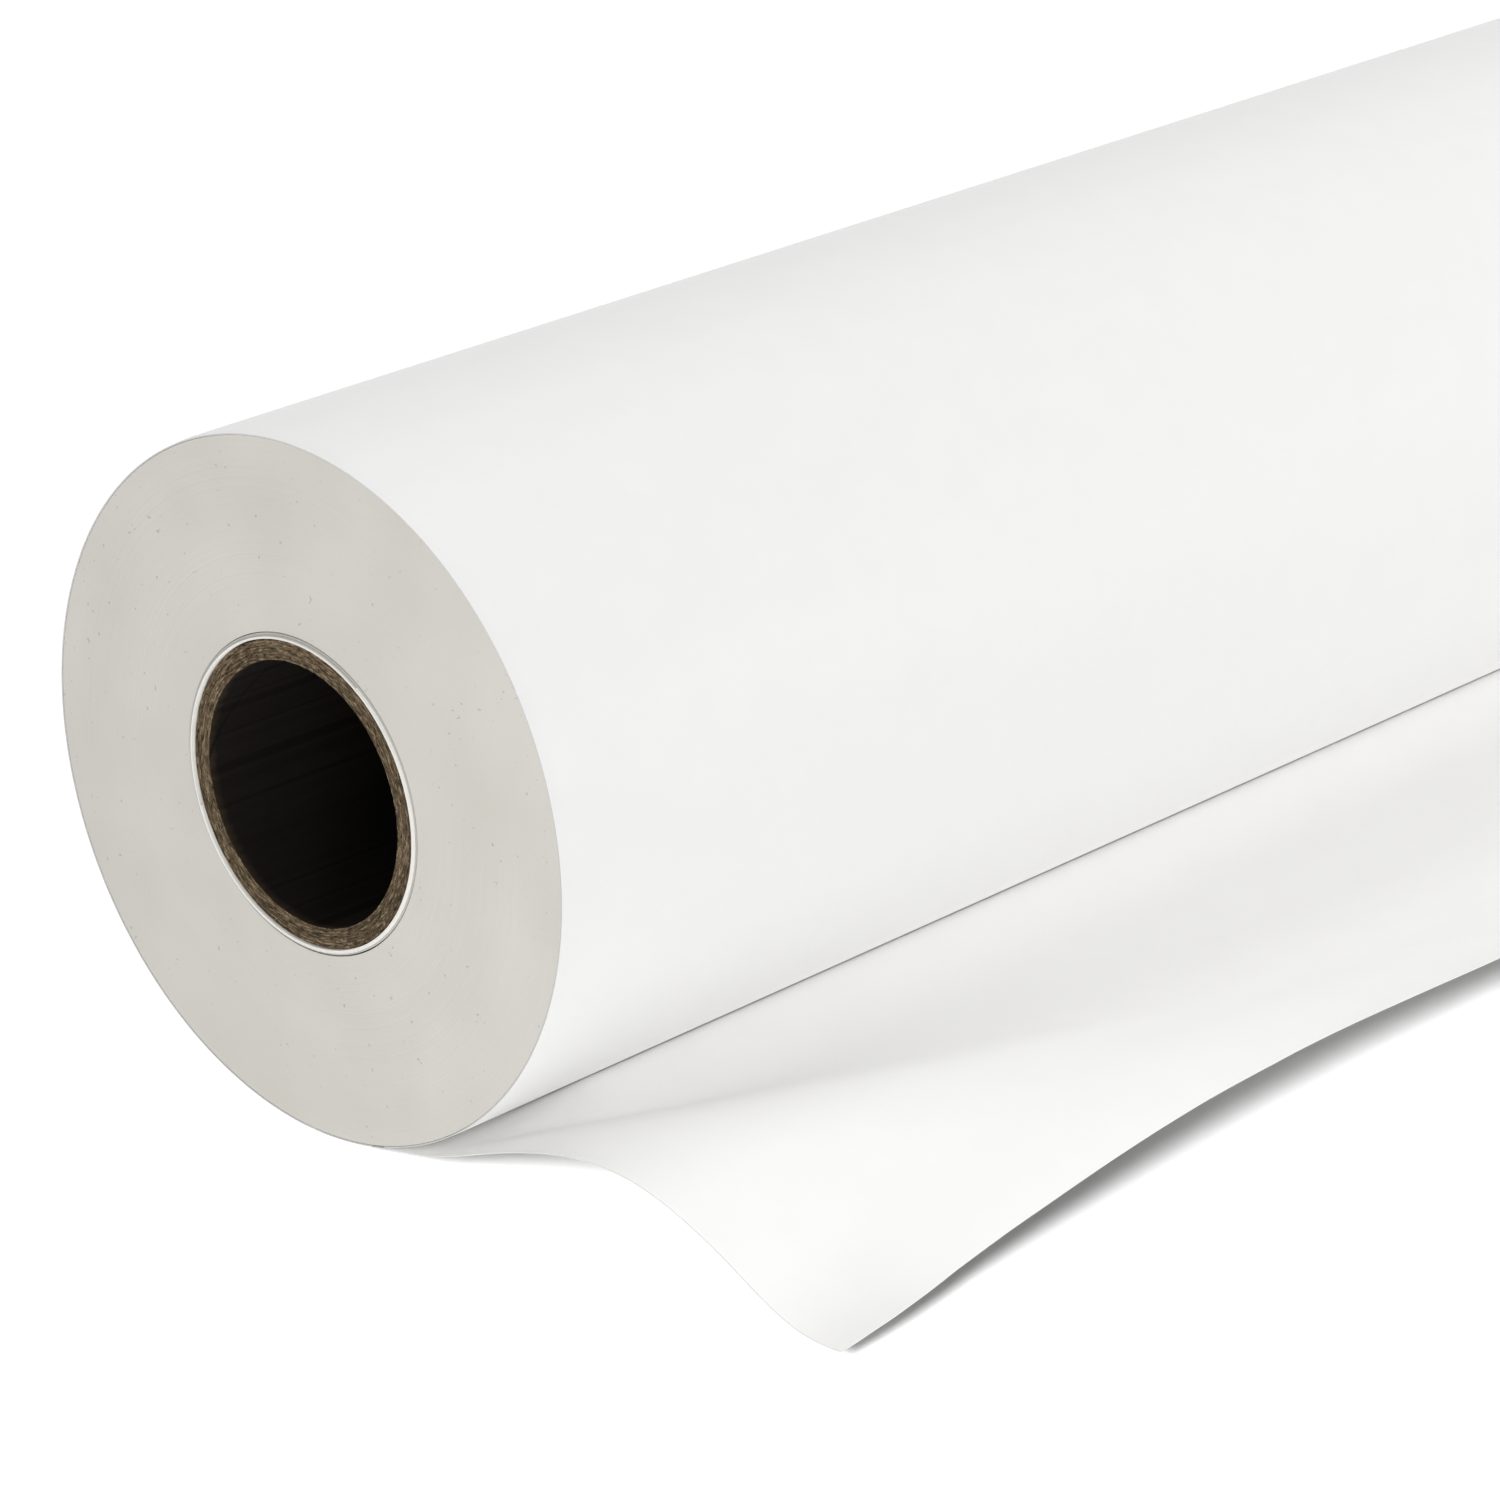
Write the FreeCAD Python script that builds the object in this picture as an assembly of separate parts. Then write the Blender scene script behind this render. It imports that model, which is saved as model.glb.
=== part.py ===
"""A roll of wide background paper on a spiral-wound board core, with its loose end laid out.

Millimetres. The core's axis is Y, and the origin is the centre of the core's bore, half way
along it. The roll lies on its own weight with +Z up, and the loose end leaves it near the
bottom and runs towards +X. The paper is one continuous sheet: it is split into nodes only
where its stretches move apart when paper is drawn off.
"""
import FreeCAD, Part
import os
from math import cos, radians, sin, sqrt

# ---- driving dimensions ----
ROLL_WIDTH = 1350.0        # width of the paper, which is also the core's length
BORE_RADIUS = 25.4         # two-inch core
CORE_RADIUS = 29.2
ROLL_RADIUS = 67.5
PAPER = 0.25               # thickness of one sheet

# ---- core ----
BODY_PLIES = 5             # between the inner liner and the outer ply
GLUE_LINE = 0.03           # adhesive film between two plies
TAPE_THICKNESS = 0.12
TAPE_ARC = 94.0            # degrees of the core that the starting tape covers
TAPE_MIDDLE = 180.0        # degrees from the bottom to the middle of the tape
TAPE_END_MARGIN = 6.0      # the tape stops this short of each end of the core

# ---- wound paper ----
STARTER_TURNS = 5          # tight turns over the tape, which stand a little proud
STARTER_CREEP = 0.6        # how far those turns have shifted towards the -Y end
TAPE_GAP = 0.15            # room for the tape between the core and the first turn
STARTER_GAP = 0.10         # gap between the starter turns and the rest of the pack
TURN_CLEARANCE = 0.15      # running gap between the pack and the outermost turn
FLAT_HALF_WIDTH = 4.0      # the narrow flat that the roll's weight presses into it

# ---- loose end ----
HUG_START = 8.0            # degrees from the bottom where the loose end's first strip begins
PEEL_ANGLE = 30.0          # degrees from the bottom where it leaves the roll
SPLIT_GAP = 0.3            # between stretches of paper on different bodies

ply_pitch = (CORE_RADIUS - BORE_RADIUS + GLUE_LINE) / (BODY_PLIES + 2)
starter_inner = CORE_RADIUS + TAPE_GAP
starter_outer = starter_inner + STARTER_TURNS * PAPER
pack_inner = starter_outer + STARTER_GAP
turn_inner = ROLL_RADIUS - PAPER
pack_outer = turn_inner - TURN_CLEARANCE
flat_z = -sqrt(ROLL_RADIUS ** 2 - FLAT_HALF_WIDTH ** 2)

# Stretches of the loose end, as (length,) for a straight run and (radius, turn) for a bend,
# with the turn in degrees and positive when the paper curls upwards.
ROOT_PATH = [(3.0,)]
ARCH_PATH = [(20.0, -PEEL_ANGLE), (28.0, -28.0), (3.0,)]
BED_PATH = [(7.5,), (28.0, 28.0), (40.0, 14.0)]
LIP_PATH = [(60.0, 8.0), (14.0,), (60.0, -12.0), (8.0,)]


def tube(inner, outer, length=ROLL_WIDTH, shift=0.0):
    """A tube around the Y axis, centred on the origin and then shifted along Y."""
    start = FreeCAD.Vector(0, shift - length / 2, 0)
    axis = FreeCAD.Vector(0, 1, 0)
    return Part.makeCylinder(outer, length, start, axis).cut(
        Part.makeCylinder(inner, length, start, axis))


def on_roll(radius, angle):
    """The point at an angle from the roll's bottom, measured towards +X."""
    a = radians(angle)
    return FreeCAD.Vector(radius * sin(a), -ROLL_WIDTH / 2, -radius * cos(a))


def arc_band(inner, outer, start, end, length=ROLL_WIDTH):
    """A part of a tube between two angles from the bottom, centred along Y."""
    middle = (start + end) / 2
    edges = [
        Part.Arc(on_roll(inner, start), on_roll(inner, middle), on_roll(inner, end)).toShape(),
        Part.makeLine(on_roll(inner, end), on_roll(outer, end)),
        Part.Arc(on_roll(outer, end), on_roll(outer, middle), on_roll(outer, start)).toShape(),
        Part.makeLine(on_roll(outer, start), on_roll(inner, start)),
    ]
    band = Part.Face(Part.Wire(edges)).extrude(FreeCAD.Vector(0, length, 0))
    band.translate(FreeCAD.Vector(0, (ROLL_WIDTH - length) / 2, 0))
    return band


class Pen:
    """Follows the middle of the loose sheet in the XZ plane, from where it leaves the roll."""

    def __init__(self):
        self.place = on_roll(ROLL_RADIUS + PAPER / 2, PEEL_ANGLE)
        self.heading = PEEL_ANGLE

    def side(self, offset, place=None, heading=None):
        """The point that lies an offset above the middle of the sheet."""
        place = self.place if place is None else place
        h = radians(self.heading if heading is None else heading)
        return place + FreeCAD.Vector(-sin(h), 0, cos(h)) * offset

    def ahead(self, length):
        h = radians(self.heading)
        return self.place + FreeCAD.Vector(cos(h), 0, sin(h)) * length

    def run(self, length):
        """Moves straight on, and returns the edges of the sheet's upper and lower sides."""
        before = [self.side(PAPER / 2), self.side(-PAPER / 2)]
        self.place = self.ahead(length)
        after = [self.side(PAPER / 2), self.side(-PAPER / 2)]
        return [Part.makeLine(a, b) for a, b in zip(before, after)]

    def bend(self, radius, turn):
        """Moves round an arc, and returns the edges of the sheet's upper and lower sides."""
        way = 1 if turn > 0 else -1
        centre = self.side(way * radius)
        stops = []
        for share in (0, 0.5, 1):
            heading = self.heading + share * turn
            middle = self.side(-way * radius, centre, heading)
            stops.append([self.side(s * PAPER / 2, middle, heading) for s in (1, -1)])
        self.place = middle
        self.heading += turn
        return [Part.Arc(*[stop[i] for stop in stops]).toShape() for i in (0, 1)]


def ribbon(pen, path):
    """One stretch of the loose sheet, over the whole width of the paper."""
    start = [pen.side(PAPER / 2), pen.side(-PAPER / 2)]
    sides = [pen.run(*step) if len(step) == 1 else pen.bend(*step) for step in path]
    end = [pen.side(PAPER / 2), pen.side(-PAPER / 2)]
    edges = [upper for upper, lower in sides] + [lower for upper, lower in sides]
    edges += [Part.makeLine(*start), Part.makeLine(*end)]
    outline = Part.Wire(Part.__sortEdges__(edges))
    return Part.Face(outline).extrude(FreeCAD.Vector(0, ROLL_WIDTH, 0))


def core_plies():
    """Every ply of the core, from the bore outwards, as (name, solid)."""
    names = ["core_inner_liner"]
    names += [f"core_body_ply_{i + 1}" for i in range(BODY_PLIES)]
    names += ["core_outer_ply"]
    for i, name in enumerate(names):
        inner = BORE_RADIUS + i * ply_pitch
        yield name, tube(inner, inner + ply_pitch - GLUE_LINE)


def starting_tape():
    """The strip of tape that holds the paper's first edge to the core."""
    length = ROLL_WIDTH - 2 * TAPE_END_MARGIN
    return arc_band(CORE_RADIUS, CORE_RADIUS + TAPE_THICKNESS, TAPE_MIDDLE - TAPE_ARC / 2,
                    TAPE_MIDDLE + TAPE_ARC / 2, length)


def outermost_turn():
    """The last whole turn of paper, pressed flat along the line that it rests on."""
    ring = tube(turn_inner, ROLL_RADIUS)
    below = Part.makeBox(2 * ROLL_RADIUS, ROLL_WIDTH, ROLL_RADIUS,
                         FreeCAD.Vector(-ROLL_RADIUS, -ROLL_WIDTH / 2, flat_z - ROLL_RADIUS))
    return ring.cut(below)


def loose_end():
    """Every stretch of the loose end, from the roll outwards, as (name, solid)."""
    pen = Pen()
    hug = arc_band(ROLL_RADIUS, ROLL_RADIUS + PAPER, HUG_START, PEEL_ANGLE)
    root = hug.fuse(ribbon(pen, ROOT_PATH)).removeSplitter()
    yield "leader_root", root
    yield "leader_arch", ribbon(pen, ARCH_PATH)
    pen.run(SPLIT_GAP)
    yield "leader_bed", ribbon(pen, BED_PATH)
    pen.run(SPLIT_GAP)
    yield "leader_lip", ribbon(pen, LIP_PATH)


def build():
    parts = dict(core_plies())
    parts["core_tape"] = starting_tape()
    parts["starter_turns"] = tube(starter_inner, starter_outer, shift=-STARTER_CREEP)
    parts["wound_pack"] = tube(pack_inner, pack_outer)
    parts["outer_turn"] = outermost_turn()
    parts.update(loose_end())
    return parts


os.makedirs("parts", exist_ok=True)
for name, shape in build().items():
    shape.exportStep(f"parts/{name}.step")
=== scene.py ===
"""The looks of a roll of white background paper on a board core, built round its CAD frame.

Metres, in the frame's own axes: the core runs along Y, the loose end lies towards +X, and the
near end is the one at -Y. Sizes that only shape the paper are written in millimetres and
multiplied by MM.
"""
from math import cos, pi, radians, sin, sqrt

import bpy
import numpy as np
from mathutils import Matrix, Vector

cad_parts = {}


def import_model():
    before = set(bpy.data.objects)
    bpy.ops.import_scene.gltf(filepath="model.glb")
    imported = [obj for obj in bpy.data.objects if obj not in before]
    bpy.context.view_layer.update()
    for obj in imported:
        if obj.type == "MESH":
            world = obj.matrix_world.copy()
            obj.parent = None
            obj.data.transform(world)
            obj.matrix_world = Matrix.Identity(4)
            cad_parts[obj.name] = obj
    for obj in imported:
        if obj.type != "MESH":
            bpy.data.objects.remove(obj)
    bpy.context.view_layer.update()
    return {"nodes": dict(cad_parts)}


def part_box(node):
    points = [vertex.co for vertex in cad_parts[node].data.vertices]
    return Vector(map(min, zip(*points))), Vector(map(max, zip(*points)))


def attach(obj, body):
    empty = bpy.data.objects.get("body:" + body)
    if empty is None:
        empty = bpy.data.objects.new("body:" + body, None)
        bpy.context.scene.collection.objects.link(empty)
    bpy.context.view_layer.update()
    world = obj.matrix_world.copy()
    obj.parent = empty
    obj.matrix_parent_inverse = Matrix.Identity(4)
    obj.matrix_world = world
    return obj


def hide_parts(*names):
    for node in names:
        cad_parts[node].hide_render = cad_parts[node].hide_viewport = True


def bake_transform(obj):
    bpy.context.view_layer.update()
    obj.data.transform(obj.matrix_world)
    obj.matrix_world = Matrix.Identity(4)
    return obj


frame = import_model()

MM = 0.001
PAPER = 0.25 * MM                       # thickness of one sheet
LOOSE_START = 14.0                      # degrees from the bottom where the loose end's piece starts
LOOSE_LENGTH = 123.3                    # mm of paper from there to its leading edge


def radii(node):
    """(inner, outer) radius of a CAD tube, whose corners all lie on its two cylinders."""
    away = [sqrt(v.co.x ** 2 + v.co.z ** 2) for v in frame["nodes"][node].data.vertices]
    return min(away), max(away)


NEAR_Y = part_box("wound_pack")[0].y
FAR_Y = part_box("wound_pack")[1].y
FLOOR_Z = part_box("outer_turn")[0].z
ROLL_RADIUS = radii("outer_turn")[1]
SHEET_RADIUS = ROLL_RADIUS + PAPER / 2  # to the middle of the sheet that leaves the roll


# ---- small tools for shapes ----

def smooth_curve(knots, at):
    """A curve with no overshoot through (place, value) knots, level beyond both ends."""
    xs, ys = np.array(knots, float).T
    steps = np.diff(ys) / np.diff(xs)
    slopes = np.zeros(len(xs))
    before, after = steps[:-1], steps[1:]
    same_way = before * after > 0
    slopes[1:-1][same_way] = (2 * before * after / (before + after + 1e-30))[same_way]
    return hermite(xs, ys, slopes, np.clip(at, xs[0], xs[-1]))


def hermite(xs, ys, slopes, at):
    """The cubic curve through places xs with values ys and slopes."""
    i = np.clip(np.searchsorted(xs, at) - 1, 0, len(xs) - 2)
    width = xs[i + 1] - xs[i]
    t = (at - xs[i]) / width
    return ((2 * t ** 3 - 3 * t ** 2 + 1) * ys[i] + (t ** 3 - 2 * t ** 2 + t) * width * slopes[i]
            + (3 * t ** 2 - 2 * t ** 3) * ys[i + 1] + (t ** 3 - t ** 2) * width * slopes[i + 1])


def wave_line(knots, at):
    """A curve through (place, value, slope) knots, straight beyond both ends."""
    xs, ys, slopes = np.array(knots, float).T
    inside = hermite(xs, ys, slopes, np.clip(at, xs[0], xs[-1]))
    return (inside + slopes[0] * np.minimum(at - xs[0], 0)
            + slopes[-1] * np.maximum(at - xs[-1], 0))


def soft_max(a, b, blend):
    """The larger of two heights, rounded off where they cross."""
    near = np.maximum(blend - np.abs(a - b), 0) / blend
    return np.maximum(a, b) + near * near * blend / 4


def smoothstep(t):
    t = np.clip(t, 0, 1)
    return t * t * (3 - 2 * t)


def ripple(angle, seed, slowest, fastest, height):
    """A sum of waves that closes on itself round the roll."""
    rng = np.random.default_rng(seed)
    total = np.zeros_like(angle, float)
    count = fastest - slowest + 1
    for n in range(slowest, fastest + 1):
        total += rng.normal() / sqrt(count) * np.sin(n * angle + rng.uniform(0, 2 * pi))
    return total * height


# ---- meshes ----

def make_mesh(name, points, faces, *materials, sharp=40):
    """A smooth-shaded mesh piece whose edges over a given angle in degrees stay sharp.

    points is an array of places, and faces a list of the points round each face.
    """
    mesh = bpy.data.meshes.new(name)
    mesh.from_pydata(points.tolist(), [], faces)
    for material in materials:
        mesh.materials.append(material)
    mesh.shade_smooth()
    mesh.set_sharp_from_angle(angle=radians(sharp))
    piece = bpy.data.objects.new(name, mesh)
    bpy.context.scene.collection.objects.link(piece)
    return piece


def use_second_material(piece, faces):
    """Gives the second material to the faces where an array of yes and no says so."""
    piece.data.polygons.foreach_set("material_index", faces.astype(np.int32))


def quads(rows, columns, wrap_rows=False, wrap_columns=False):
    """The faces of a grid of points, numbered row by row."""
    r = np.arange(rows if wrap_rows else rows - 1)[:, None]
    c = np.arange(columns if wrap_columns else columns - 1)[None, :]
    r2, c2 = (r + 1) % rows, (c + 1) % columns
    corners = [r * columns + c, r * columns + c2, r2 * columns + c2, r2 * columns + c]
    return np.stack(corners, -1).reshape(-1, 4)


def lathe(name, radius, along, segments, *materials, sharp=40):
    """A closed ring round the Y axis. radius and along hold a closed outline, for each segment."""
    angle = np.arange(segments) * 2 * pi / segments
    shape = (len(radius), segments)
    radius = np.broadcast_to(np.asarray(radius, float).reshape(len(radius), -1), shape)
    along = np.broadcast_to(np.asarray(along, float).reshape(len(along), -1), shape)
    points = np.stack([radius * np.cos(angle), along, radius * np.sin(angle)], -1)
    faces = quads(*shape, wrap_rows=True, wrap_columns=True)
    return make_mesh(name, points.reshape(-1, 3), faces.tolist(), *materials, sharp=sharp)


def thick_sheet(name, middle, material, cut_edge):
    """A closed sheet of paper around a grid of middle points, with its own finish on its edges."""
    down = np.gradient(middle, axis=0)
    across = np.gradient(middle, axis=1)
    normal = np.cross(down, across)
    normal /= np.linalg.norm(normal, axis=2, keepdims=True)
    rows, columns = middle.shape[:2]
    half = normal * PAPER / 2
    points = np.concatenate([(middle + half).reshape(-1, 3), (middle - half).reshape(-1, 3)])
    upper = quads(rows, columns)
    lower = upper[:, ::-1] + rows * columns
    index = np.arange(rows * columns).reshape(rows, columns)
    rim = np.concatenate([index[0, :-1], index[:-1, -1], index[-1, :0:-1], index[:0:-1, 0]])
    turned = np.roll(rim, -1)
    walls = np.stack([turned, rim, rim + rows * columns, turned + rows * columns], -1)
    faces = np.concatenate([upper, lower, walls])
    piece = make_mesh(name, points, faces.tolist(), material, cut_edge)
    use_second_material(piece, np.arange(len(faces)) >= len(upper) + len(lower))
    return piece


# ---- materials ----

LINER_PITCH = 90 * MM                   # along the axis, from one seam of the liner to the next
SEAM_WIDTH = 0.8 * MM


class Finish:
    """A node material, built up one node at a time around its Principled shader."""

    def __init__(self, name):
        self.material = bpy.data.materials.new(name)
        self.material.use_nodes = True
        self.tree = self.material.node_tree
        self.shader = self.tree.nodes["Principled BSDF"]
        self.place = self.node("ShaderNodeTexCoord").outputs["Object"]

    def node(self, kind, inputs=(), **settings):
        made = self.tree.nodes.new(kind)
        for key, value in settings.items():
            setattr(made, key, value)
        for key, value in dict(inputs).items():
            self.set(made.inputs[key], value)
        return made

    def set(self, socket, value):
        if isinstance(value, bpy.types.NodeSocket):
            self.tree.links.new(value, socket)
        else:
            socket.default_value = value

    def surface(self, **values):
        for key, value in values.items():
            self.set(self.shader.inputs[key.replace("_", " ")], value)

    def math(self, operation, a, b=0.0):
        return self.node("ShaderNodeMath", {0: a, 1: b}, operation=operation).outputs[0]

    def noise(self, place, scale, detail=2.0, roughness=0.5):
        return self.node("ShaderNodeTexNoise", {"Vector": place, "Scale": scale, "Detail": detail,
                                                "Roughness": roughness}).outputs["Fac"]

    def spread(self, value, low, high, to_low=0.0, to_high=1.0):
        return self.node("ShaderNodeMapRange", {
            "Value": value, "From Min": low, "From Max": high,
            "To Min": to_low, "To Max": to_high}).outputs["Result"]

    def mix(self, share, a, b):
        made = self.node("ShaderNodeMix", {"Factor": share}, data_type="RGBA")
        self.set(made.inputs[6], a)
        self.set(made.inputs[7], b)
        return made.outputs[2]

    def bump(self, height, distance, strength=1.0, under=None):
        inputs = {"Height": height, "Distance": distance, "Strength": strength}
        if under is not None:
            inputs["Normal"] = under
        return self.node("ShaderNodeBump", inputs).outputs["Normal"]

    def round_axis(self, radius, along, out, down):
        """Places measured round the axis, out from it and down its length, each in its own unit."""
        apart = self.node("ShaderNodeSeparateXYZ", {"Vector": self.place})
        x, y, z = apart.outputs
        flat = self.node("ShaderNodeCombineXYZ", {"X": x, "Z": z}).outputs[0]
        away = self.node("ShaderNodeVectorMath", {0: flat}, operation="LENGTH").outputs["Value"]
        turn = self.math("ARCTAN2", z, x)
        return self.node("ShaderNodeCombineXYZ", {
            "X": self.math("MULTIPLY", turn, radius / along),
            "Y": self.math("MULTIPLY", away, 1 / out),
            "Z": self.math("MULTIPLY", y, 1 / down)}).outputs[0]


def grey(value, warm=0.0):
    """A linear colour near white or grey: warm takes blue away and adds a little red."""
    return (value * (1 + warm * 0.4), value, value * (1 - warm), 1.0)


def paper_finish():
    """Smooth white paper: cloudy fibre formation, fine fibres and a faint satin gloss."""
    f = Finish("white_paper")
    clouds = f.noise(f.place, 1 / (9 * MM), 3.0, 0.55)
    fibres = f.noise(f.place, 1 / (0.7 * MM), 3.0, 0.6)
    tone = f.mix(f.spread(clouds, 0.3, 0.7), grey(0.940, 0.006), grey(0.955, 0.004))
    flecked = f.mix(f.spread(fibres, 0.62, 0.80, 0.0, 0.35), tone, grey(0.88, 0.02))
    tooth = f.bump(fibres, 0.012 * MM)
    f.surface(Base_Color=flecked, Roughness=f.spread(fibres, 0.3, 0.7, 0.46, 0.58),
              Normal=f.bump(clouds, 0.03 * MM, under=tooth))
    f.surface(Specular_IOR_Level=0.32)
    return f.material


def cut_finish():
    """The cut edge of a single sheet, a little duller than its faces."""
    f = Finish("cut_edge")
    f.surface(Base_Color=grey(0.76, 0.02), Roughness=0.8)
    return f.material


def starter_finish():
    """The first turns, brighter than the cut edges around them: the bright tone is painted light on
    these proud, curled turns.
    """
    f = Finish("starter_paper")
    streaks = f.noise(f.round_axis(30 * MM, 6 * MM, 0.25 * MM, 4 * MM), 1.0, 3.0)
    # painted light: the brighter tone of the first turns
    tone = f.mix(f.spread(streaks, 0.3, 0.7), grey(0.88, 0.05), grey(0.95, 0.035))
    f.surface(Base_Color=tone, Roughness=0.5, Normal=f.bump(streaks, 0.02 * MM))
    return f.material


def edge_finish():
    """The cut edges of many turns: warm grey, with fine rings, dust specks and small nicks."""
    f = Finish("paper_edges")
    rings = f.noise(f.round_axis(50 * MM, 22 * MM, 0.28 * MM, 1.0), 1.0, 3.0, 0.6)
    drift = f.noise(f.place, 1 / (24 * MM), 2.0)
    specks = f.noise(f.place, 1 / (1.1 * MM), 2.0, 0.4)
    tone = f.mix(f.spread(drift, 0.3, 0.7), grey(0.55, 0.075), grey(0.59, 0.060))
    ringed = f.mix(f.spread(rings, 0.35, 0.75, 0.0, 0.12), tone, grey(0.60, 0.09))
    dusty = f.mix(f.spread(specks, 0.735, 0.77, 0.0, 0.55), ringed, grey(0.30, 0.12))
    f.surface(Base_Color=dusty, Roughness=f.spread(rings, 0.3, 0.7, 0.62, 0.8),
              Normal=f.bump(rings, 0.006 * MM))
    f.surface(Specular_IOR_Level=0.25)
    return f.material


def board_finish():
    """Grey-brown paperboard cut across: long fibres round the axis, pale flecks and dark pits."""
    f = Finish("core_board")
    fibres = f.noise(f.round_axis(27 * MM, 1.6 * MM, 0.34 * MM, 2 * MM), 1.0, 3.0, 0.7)
    layers = f.noise(f.round_axis(27 * MM, 26 * MM, 0.55 * MM, 2 * MM), 1.0, 2.0)
    pits = f.noise(f.round_axis(27 * MM, 0.9 * MM, 0.45 * MM, 1 * MM), 1.0, 2.0, 0.5)
    dark, mid, pale = (0.030, 0.020, 0.011, 1), (0.105, 0.075, 0.044, 1), (0.36, 0.28, 0.175, 1)
    tone = f.mix(f.spread(layers, 0.38, 0.62), mid, (0.165, 0.118, 0.070, 1))
    streaked = f.mix(f.spread(fibres, 0.53, 0.66), tone, pale)
    shaded = f.mix(f.spread(fibres, 0.47, 0.36), streaked, dark)
    pitted = f.mix(f.spread(pits, 0.62, 0.68, 0.0, 0.9), shaded, (0.014, 0.010, 0.007, 1))
    f.surface(Base_Color=pitted, Roughness=f.spread(fibres, 0.3, 0.7, 0.95, 0.78),
              Normal=f.bump(pits, -0.12 * MM, under=f.bump(fibres, 0.10 * MM)))
    f.surface(Specular_IOR_Level=0.15)
    return f.material


def liner_finish():
    """The paper that lines the bore, wound in a spiral whose seam shows as a thin groove. Its
    near-black brown is painted shade of the deep bore; within a few millimetres of each end it is
    lighter brown.
    """
    f = Finish("core_liner")
    fibres = f.noise(f.round_axis(25 * MM, 1.5 * MM, 1.0, 3 * MM), 1.0, 4.0, 0.6)
    x, y, z = f.node("ShaderNodeSeparateXYZ", {"Vector": f.place}).outputs
    turn = f.math("MULTIPLY", f.math("ARCTAN2", z, x), 1 / (2 * pi))
    along = f.math("MULTIPLY", y, 1 / LINER_PITCH)
    seam = f.math("PINGPONG", f.math("ADD", turn, along), 0.5)
    groove = f.spread(seam, 0.0, SEAM_WIDTH / LINER_PITCH, 1.0, 0.0)
    # painted shade: the near-black brown deep in the bore
    tone = f.mix(f.spread(fibres, 0.3, 0.7), (0.0110, 0.0092, 0.0080, 1),
                 (0.0125, 0.0103, 0.0090, 1))
    # lighter brown within a ragged few millimetres of each end, near-black painted shade further in
    from_end = f.math("SUBTRACT", FAR_Y, f.math("ABSOLUTE", y))
    ragged_depth = f.math("ADD", from_end, f.math("MULTIPLY", fibres, 3 * MM))
    painted_bore_shade = f.mix(f.spread(ragged_depth, 0.8 * MM, 3.5 * MM), (0.050, 0.035, 0.021, 1), tone)
    f.surface(Base_Color=f.mix(groove, painted_bore_shade, (0.008, 0.007, 0.006, 1)), Roughness=0.85,
              Normal=f.bump(groove, -0.15 * MM, under=f.bump(fibres, 0.01 * MM)))
    f.surface(Specular_IOR_Level=0.08)
    return f.material


def tape_finish():
    """Kraft paper tape."""
    f = Finish("kraft_tape")
    fibres = f.noise(f.place, 1 / (1.2 * MM), 4.0, 0.6)
    tone = f.mix(f.spread(fibres, 0.3, 0.7), (0.36, 0.24, 0.13, 1), (0.50, 0.36, 0.21, 1))
    f.surface(Base_Color=tone, Roughness=0.6, Normal=f.bump(fibres, 0.02 * MM))
    return f.material


def floor_finish():
    """A matt white studio floor."""
    f = Finish("studio_floor")
    f.surface(Base_Color=grey(0.50), Roughness=1.0, Specular_IOR_Level=0.0)
    return f.material


paper = paper_finish()
cut = cut_finish()
edges = edge_finish()
board = board_finish()


# ---- the core ----

CORE_SEGMENTS = 256
PLY_BEVEL = 0.05 * MM
END_RUFFLE = 0.045 * MM                 # how far the board's cut end is from flat


def core_ply(node, order):
    """One ply of the core, with a ragged cut at both ends. Returns the piece's name."""
    inner, outer = radii(node)
    low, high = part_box(node)
    across = [inner, inner + PLY_BEVEL]
    across += list(np.linspace(inner, outer, 5)[1:-1])
    across += [outer - PLY_BEVEL, outer]
    set_back = [PLY_BEVEL] + [0.0] * (len(across) - 2) + [PLY_BEVEL]
    rng = np.random.default_rng(100 + order)
    outline, heights = [], []
    for side, y, way in ((across, low.y, 1), (across[::-1], high.y, -1)):
        rough = rng.normal(size=(len(side), CORE_SEGMENTS))
        rough = (rough + np.roll(rough, 1, axis=1) + np.roll(rough, 2, axis=1)) / sqrt(3)
        back = np.array(set_back)[:, None] + END_RUFFLE * np.abs(rough)
        outline += list(side)
        heights.append(y + way * back)
    piece = lathe(f"ply_{order}_{node}", outline, np.concatenate(heights), CORE_SEGMENTS,
                  board, liner_finish() if order == 0 else board, sharp=60)
    if order == 0:
        in_bore = np.arange(len(piece.data.polygons)) >= (len(outline) - 1) * CORE_SEGMENTS
        use_second_material(piece, in_bore)
    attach(piece, "roll")
    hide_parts(node)
    return piece.name


plies = ["core_inner_liner"] + [f"core_body_ply_{i}" for i in range(1, 6)] + ["core_outer_ply"]
core_pieces = [core_ply(node, order) for order, node in enumerate(plies)]
frame["nodes"]["core_tape"].data.materials.clear()
frame["nodes"]["core_tape"].data.materials.append(tape_finish())


# ---- the wound paper ----

STARTER_SEGMENTS = 180                  # in one turn of the starter strip
BRIGHT_TURNS = 2.1                      # how many of its turns stand proud and take the bright tone of painted light
PACK_SEGMENTS = 160
TURN_SEGMENTS = 480
RIM_GAP = 0.06 * MM                     # between the outermost turn's edges and the pack
RIM_CURL = 1.2 * MM                     # how far in from its edges that turn draws in to the pack
NICK = 0.02 * MM                        # depth of the groove between two turns of the pack
TURN_RAGGED = 0.015 * MM                # how unevenly the turns of the pack line up
DISH = 0.25 * MM                        # slow unevenness of the pack's end
WAVINESS = 0.030 * MM                   # of the outermost turn, from lying in store


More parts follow.
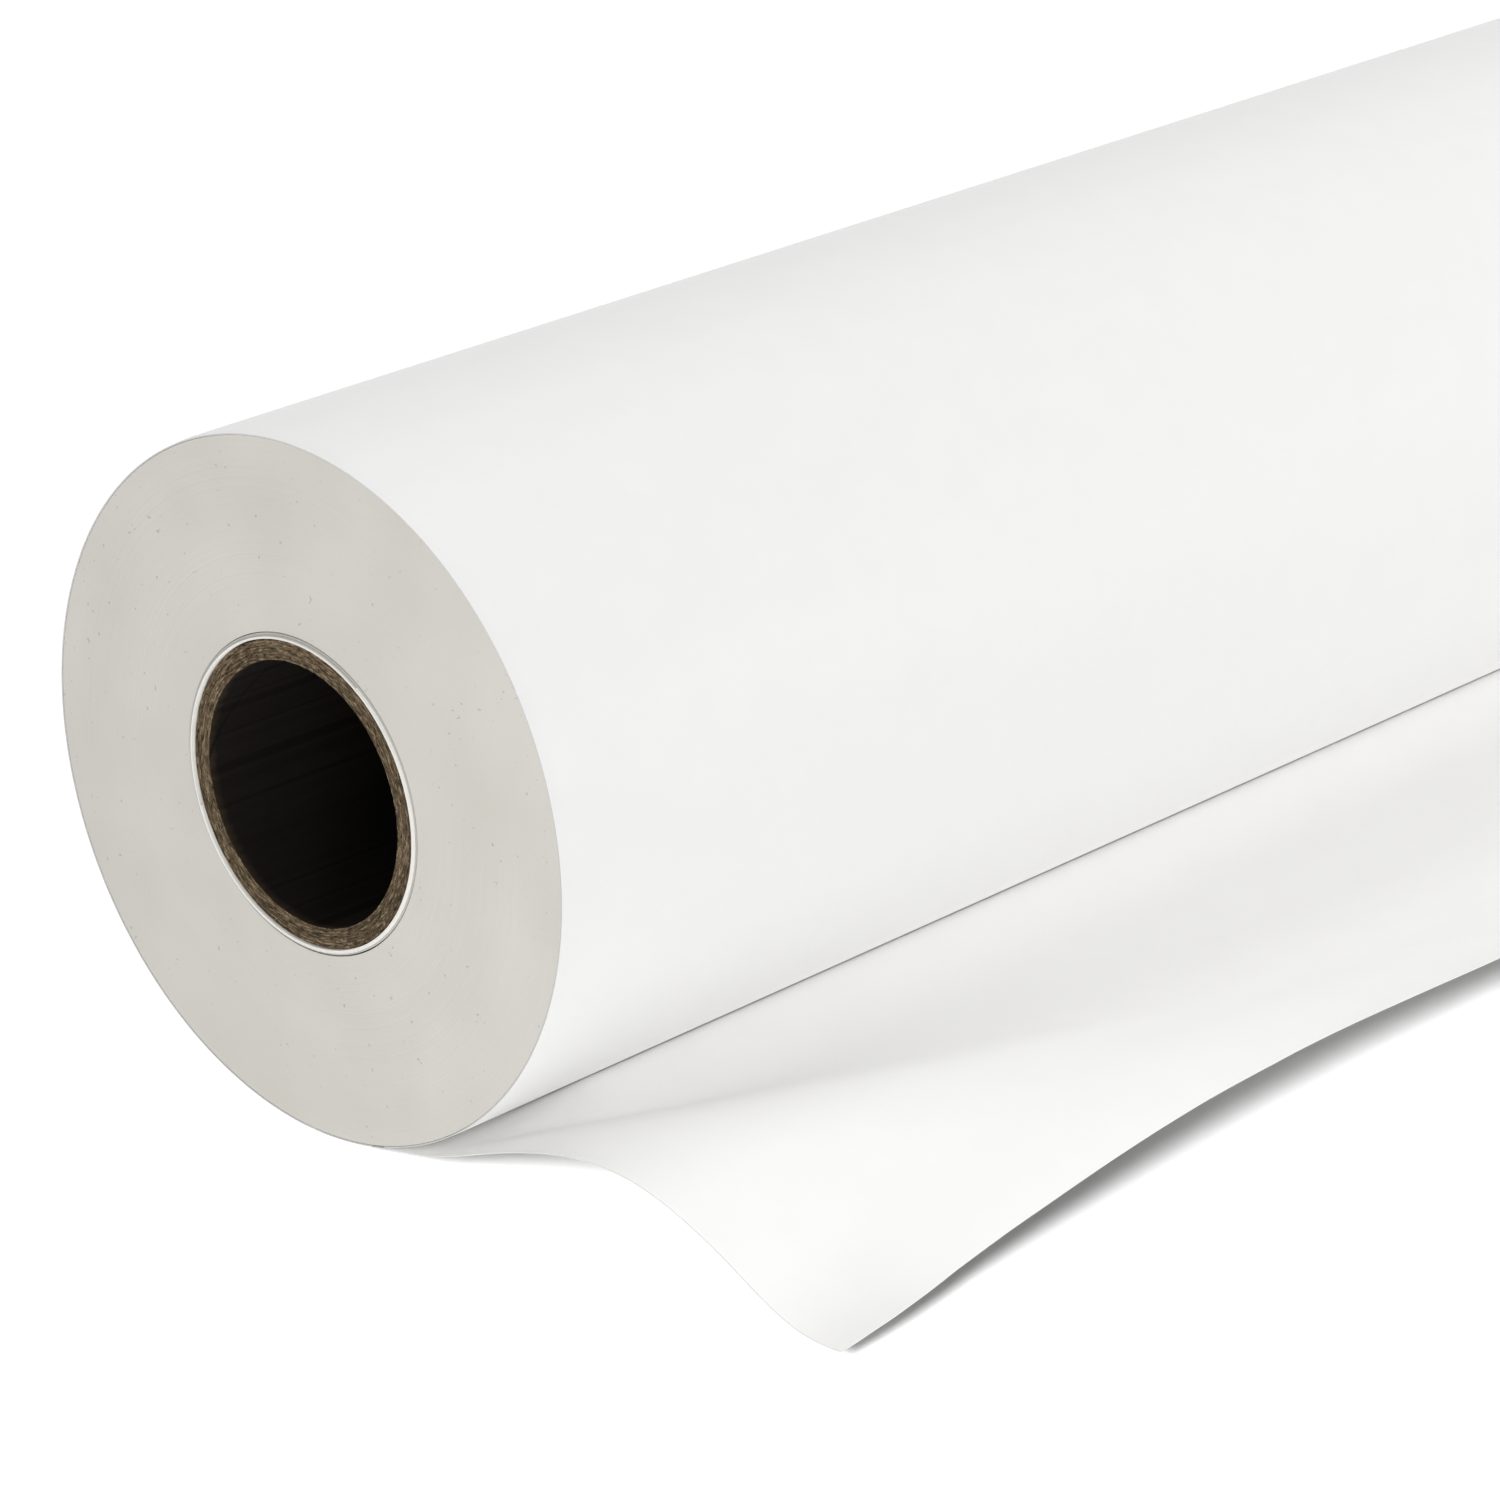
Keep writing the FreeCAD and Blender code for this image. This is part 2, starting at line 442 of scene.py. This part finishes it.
def starter_strip():
    """The first turns as one spiral strip, standing a little proud of the near end."""
    inner, outer = radii("starter_turns")
    low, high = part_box("starter_turns")
    count = round((outer - inner) / PAPER)
    turns = np.linspace(0, count, count * STARTER_SEGMENTS + 1)
    angle = turns * 2 * pi + radians(200)
    pitch = (outer - inner - PAPER * 0.97) / count
    middle = inner + PAPER * 0.485 + pitch * turns
    rng = np.random.default_rng(7)
    shift = np.interp(turns, np.arange(count + 1), rng.uniform(-0.03, 0.03, count + 1)) * MM
    sunk = smoothstep(turns - BRIGHT_TURNS) * 0.45 + 0.25 * (1 - np.cos(angle - radians(135))) / 2
    shift += sunk * MM
    half, bevel = PAPER * 0.47, 0.06 * MM
    outline = [(-half, bevel), (-half * 0.5, 0.0), (half * 0.5, 0.0), (half, bevel)]
    near = [(out, low.y + back) for out, back in outline]
    far = [(out, high.y - back) for out, back in outline[::-1]]
    rows = []
    for out, y in near + far:
        rows.append(np.stack([(middle + out) * np.cos(angle), y + shift,
                              (middle + out) * np.sin(angle)], -1))
    points = np.stack(rows)
    columns = len(turns)
    faces = quads(len(rows), columns, wrap_rows=True)
    first = np.arange(len(rows)) * columns
    mesh_faces = faces.tolist() + [first.tolist(), (first + columns - 1)[::-1].tolist()]
    piece = make_mesh("starter_strip", points.reshape(-1, 3), mesh_faces, starter_finish(), edges,
                      sharp=50)
    column = np.tile(np.arange(columns - 1), len(rows))
    dull = column > (BRIGHT_TURNS + 0.5) * STARTER_SEGMENTS
    use_second_material(piece, np.append(dull, [False, False]))
    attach(piece, "roll")
    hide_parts("starter_turns")


def wound_pack():
    """The pack, whose ends show each turn's edge, a little out of line with its neighbours."""
    inner, outer = radii("wound_pack")
    count = round((outer - inner) / PAPER)
    bounds = np.linspace(inner, outer, count + 1)
    middles = (bounds[1:] + bounds[:-1]) / 2
    angle = np.arange(PACK_SEGMENTS) * 2 * pi / PACK_SEGMENTS
    radius = np.sort(np.concatenate([bounds, middles]))
    heights = []
    for seed in (11, 12):
        rng = np.random.default_rng(seed)
        ragged = rng.normal(size=2 * (count + 2)) * TURN_RAGGED / 2
        place = (np.arange(count)[:, None] + angle[None, :] / (2 * pi)) * 2
        turn = np.interp(place, np.arange(len(ragged)), ragged)
        slow = smooth_curve([(0, 0), (0.3, 0.5), (0.55, 0.2), (0.8, 0.7), (1, 0.3)],
                            (middles - inner) / (outer - inner)) * DISH
        turn = turn + slow[:, None]
        face = np.zeros((len(radius), PACK_SEGMENTS))
        face[1::2] = turn
        face[0] = turn[0] + NICK
        face[-1] = turn[-1] + NICK
        face[2:-1:2] = np.maximum(turn[1:], turn[:-1]) + NICK
        heights.append(face)
    outline = np.concatenate([radius, radius[::-1]])
    along = np.concatenate([NEAR_Y + heights[0], (FAR_Y - heights[1])[::-1]])
    piece = lathe("wound_paper", outline, along, PACK_SEGMENTS, edges, sharp=75)
    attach(piece, "roll")
    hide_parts("wound_pack")


def across_rows():
    """Places across the paper, in mm from its near edge: close together where it curls most."""
    near = np.arange(0, 300, 2.0)
    return np.concatenate([near, np.linspace(300, (FAR_Y - NEAR_Y) / MM, 170)])


def outermost_turn():
    """The last whole turn, which spirals out to the place where the loose end leaves."""
    back = np.linspace(357, 0, TURN_SEGMENTS)
    angle = np.radians(LOOSE_START - back)
    radius = SHEET_RADIUS - PAPER * 1.08 * back / 360
    fade = smoothstep(back / 25) * smoothstep((357 - back) / 25)
    y = np.concatenate([[0, 0.7, 1.4, 2.2], np.linspace(4, 1346, 90),
                        [1347.8, 1348.6, 1349.3, 1350]]) * MM + NEAR_Y
    slow = 1 + 0.35 * np.sin(2 * pi * (y / 0.9))[None, :]
    radius = radius[:, None] + (ripple(angle, 3, 9, 34, WAVINESS) * fade)[:, None] * slow
    gap = radius - PAPER / 2 - radii("wound_pack")[1] - RIM_GAP
    from_end = np.minimum(y - NEAR_Y, FAR_Y - y)[None, :]
    radius = radius - np.maximum(gap, 0) * np.exp(-(from_end / RIM_CURL) ** 2)
    x = radius * np.sin(angle)[:, None]
    z = np.maximum(-radius * np.cos(angle)[:, None], FLOOR_Z + PAPER / 2 + 0.01 * MM)
    middle = np.stack([x, np.broadcast_to(y, x.shape), z], -1)
    piece = thick_sheet("outermost_turn_sheet", middle, paper, cut)
    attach(piece, "outermost_turn")
    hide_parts("outer_turn")


# ---- the loose end ----

# Heights in mm of the sheet's middle above the floor, against mm from the core's axis.

def leaving(angle):
    """(x, height, slope) of the sheet where it leaves the roll, at an angle from the bottom."""
    turn = np.radians(angle)
    return (SHEET_RADIUS / MM * np.sin(turn), (-SHEET_RADIUS * np.cos(turn) - FLOOR_Z) / MM,
            np.tan(turn))


START_X, START_HEIGHT, START_SLOPE = leaving(LOOSE_START)
# The fold at the near end, as it lies on the near edge: it runs slantwise across the sheet.
SLANT_FOLD = [(START_X, START_HEIGHT, START_SLOPE), (33, 5.8, 0.33), (50, 12.5, 0.39),
              (79, 19.2, 0.0), (106, 12.1, -0.45), (127, 3.6, -0.13), (134, 3.6, 0.12)]
# The fold that runs along the roll: how it leaves the roll, its crest and its far side, each at
# the near edge and on the rest of the sheet.
LEAVE_ANGLE = [(0, LOOSE_START), (12, 24.0), (34, 34.3), (1350, 34.3)]
LONG_CREST_RISE = [(0, 3.4), (12, 2.4), (34, 0.9), (1350, 0.9)]
LONG_CREST_AHEAD = [(0, 20.0), (12, 10.0), (34, 2.6), (1350, 2.6)]
# Its far side, as (mm beyond the crest, share of the crest's height, slope).
LONG_FALL = [(3.4, 0.92, -0.48), (12.5, 0.52, -0.49), (23, 0.20, -0.26), (34, 0.06, -0.06)]
# How far the slant fold has moved out, against mm from the near edge.
SLANT = [(0, 0), (50, 19), (100, 39), (130, 50.5), (160, 60), (200, 66), (400, 68), (700, 64),
         (1000, 70), (1350, 62)]
# How much higher the leading edge is than the folds alone would put it.
EDGE_LIFT = [(0, 0.7), (10, 1.8), (21, 2.5), (33, 2.0), (53, 1.2), (75, 0.6), (97, -0.3),
             (120, -1.6), (156, -2.5), (190, -2.8), (420, -1.7), (800, -3.3), (1100, -1.9),
             (1350, -3.6)]
EDGE_LIFT_REACH = 22.0                  # how far back from the leading edge that lift starts
FLOOR_GAP = 0.30                        # the least height of the sheet's middle
BEND_X = (34.0, 48.0)                   # where the long fold bends most tightly
SPLIT_X = 79.0                          # where the loose end changes from one piece to the next


def long_fold(x, y):
    """The fold along the roll: round the roll as far as it hugs it, then over a low crest."""
    leave = leaving(smooth_curve(LEAVE_ANGLE, y))
    crest_x = leave[0] + smooth_curve(LONG_CREST_AHEAD, y)
    crest = leave[1] + smooth_curve(LONG_CREST_RISE, y)
    knots = [leave, (crest_x, crest, 0.0)]
    knots += [(crest_x + ahead, crest * share, slope) for ahead, share, slope in LONG_FALL]
    on_roll = -np.sqrt(np.maximum((SHEET_RADIUS / MM) ** 2 - x ** 2, 0)) - FLOOR_Z / MM
    return np.where(x < leave[0], on_roll, wave_line(knots, x))


def fold_rounding(y):
    """How softly the two folds run into each other: a crease at the near edge, then a valley."""
    return 0.3 + 5.0 * np.clip(y / 140, 0, 1) ** 1.5


def loose_row(y):
    """(x, height, run) of a fine line along the loose end, at y mm from the near edge."""
    x = np.linspace(START_X, 165, 1500)
    slant = wave_line(SLANT_FOLD, x - smooth_curve(SLANT, y))
    height = soft_max(slant, long_fold(x, y), fold_rounding(y))
    height = soft_max(height, np.full_like(x, FLOOR_GAP), 1.2)
    run = np.concatenate([[0], np.cumsum(np.hypot(np.diff(x), np.diff(height)))])
    lift = smooth_curve(EDGE_LIFT, y) * smoothstep((run - LOOSE_LENGTH + EDGE_LIFT_REACH)
                                                   / EDGE_LIFT_REACH)
    return x, height + lift, run


def loose_grid(first_part):
    """The middle points of the loose end, up to the split or from there to its leading edge."""
    rows = []
    for y in across_rows():
        x, height, run = loose_row(y)
        split = np.interp(SPLIT_X, x, run)
        if first_part:
            bend = np.interp(BEND_X, x, run)
            stations = np.concatenate([np.linspace(0, bend[0], 18, endpoint=False),
                                       np.linspace(*bend, 30, endpoint=False),
                                       np.linspace(bend[1], split - 1, 34), [split - 0.5, split]])
        else:
            stations = np.concatenate([[split, split + 0.5],
                                       np.linspace(split + 1, LOOSE_LENGTH, 58)])
        rows.append(np.stack([np.interp(stations, run, x) * MM,
                              np.full_like(stations, y * MM + NEAR_Y),
                              np.interp(stations, run, height) * MM + FLOOR_Z], -1))
    return np.stack(rows, axis=1)


def loose_end():
    """The loose end in two pieces that meet where the sheet rides wholly on one body."""
    rear = thick_sheet("loose_end_rear", loose_grid(True), paper, cut)
    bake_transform(rear)
    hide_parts("leader_root", "leader_arch", "leader_bed")
    front = thick_sheet("loose_end_front", loose_grid(False), paper, cut)
    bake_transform(front)
    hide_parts("leader_lip")


starter_strip()
wound_pack()
outermost_turn()
loose_end()


# ---- the studio ----

FLOOR_SIZE = 14.0
VIEW_AZIMUTH, VIEW_ELEVATION = 43.90, 22.85
VIEW_LENS = 135.4
VIEW_PLACE = (0.7087, -1.2944, 0.4040)
WORLD_LIGHT = 0.50


def floor():
    """A wide level floor that the roll lies on."""
    n = 9
    side = np.linspace(-FLOOR_SIZE / 2, FLOOR_SIZE / 2, n)
    x, y = np.meshgrid(side, side)
    points = np.stack([x, y, np.full_like(x, FLOOR_Z)], -1).reshape(-1, 3)
    piece = make_mesh("studio_floor", points, quads(n, n).tolist(), floor_finish())


def lamp(kind, name, place, target, power, lights, warm=0.0, **shape):
    """A light at a place, facing a target, that lights the named pieces only."""
    data = bpy.data.lights.new(name, kind)
    data.energy = power
    data.color = grey(1.0, warm)[:3]
    for key, value in shape.items():
        setattr(data, key, value)
    made = bpy.data.objects.new(name, data)
    bpy.context.scene.collection.objects.link(made)
    made.location = place
    way = Vector(target) - Vector(place)
    made.rotation_mode = "QUATERNION"
    made.rotation_quaternion = way.to_track_quat("-Z", "Y")
    lit = bpy.data.collections.new(f"lit_by_{name}")
    for piece in lights:
        lit.objects.link(bpy.data.objects[piece])
    made.light_linking.receiver_collection = lit


def camera():
    """The photograph's viewpoint, which looks down the roll from its near end."""
    a, e = radians(VIEW_AZIMUTH), radians(VIEW_ELEVATION)
    data = bpy.data.cameras.new("view")
    data.lens = VIEW_LENS
    data.sensor_width = 36.0
    data.clip_start, data.clip_end = 0.05, 60.0
    eye = bpy.data.objects.new("view", data)
    bpy.context.scene.collection.objects.link(eye)
    eye.location = VIEW_PLACE
    forward = Vector((-sin(a) * cos(e), cos(a) * cos(e), -sin(e)))
    eye.rotation_mode = "QUATERNION"
    eye.rotation_quaternion = forward.to_track_quat("-Z", "Y")
    bpy.context.scene.camera = eye


def world():
    """An even white surround."""
    made = bpy.data.worlds.new("studio")
    made.use_nodes = True
    back = made.node_tree.nodes["Background"]
    back.inputs["Color"].default_value = (1.0, 1.0, 1.0, 1.0)
    back.inputs["Strength"].default_value = WORLD_LIGHT
    bpy.context.scene.world = made


floor()
camera()
world()
loose = ["loose_end_rear", "loose_end_front"]
roll_side = ["outermost_turn_sheet"]
roll_end = ["wound_paper"]
core_end = core_pieces + ["starter_strip"]
CENTRE = (0, 0, 0)
ABOVE = (-0.2, 0.0, 2.6)
LOW_FAR, LOW_FAR_TARGET = (2.5, 1.3, 0.3), (0, 0.2, 0)
BESIDE_END, NEAR_END = (0.75, -1.15, -0.06), (0, -0.675, 0)
lamp("AREA", "overhead", ABOVE, CENTRE, 28.0, roll_side + roll_end + core_end, size=1.6)
lamp("AREA", "overhead_loose", ABOVE, CENTRE, 19.5, loose, size=1.6)
lamp("AREA", "low_far", LOW_FAR, LOW_FAR_TARGET, 30.0, roll_side, size=1.6)
lamp("AREA", "low_far_loose", LOW_FAR, LOW_FAR_TARGET, 46.0, loose, size=1.6)
lamp("AREA", "low_near", (2.7, -0.3, 0.35), CENTRE, 12.0, loose, warm=0.04, size=1.6)
lamp("AREA", "low_end", (0.1, -2.4, 0.7), (0, -0.6, 0), 8.0, loose, warm=0.04, size=1.0)
lamp("AREA", "end_glow", BESIDE_END, NEAR_END, 8.5, roll_end, warm=0.03, size=0.3)
lamp("AREA", "core_glow", BESIDE_END, NEAR_END, 3.0, core_end, warm=0.03, size=0.3)
lamp("SUN", "floor_key", (0.42, -0.86, 0.50), CENTRE, 10.8, ["studio_floor"], angle=radians(12))
bpy.context.scene.view_settings.view_transform = "Standard"
bpy.context.scene.cycles.diffuse_bounces = 10
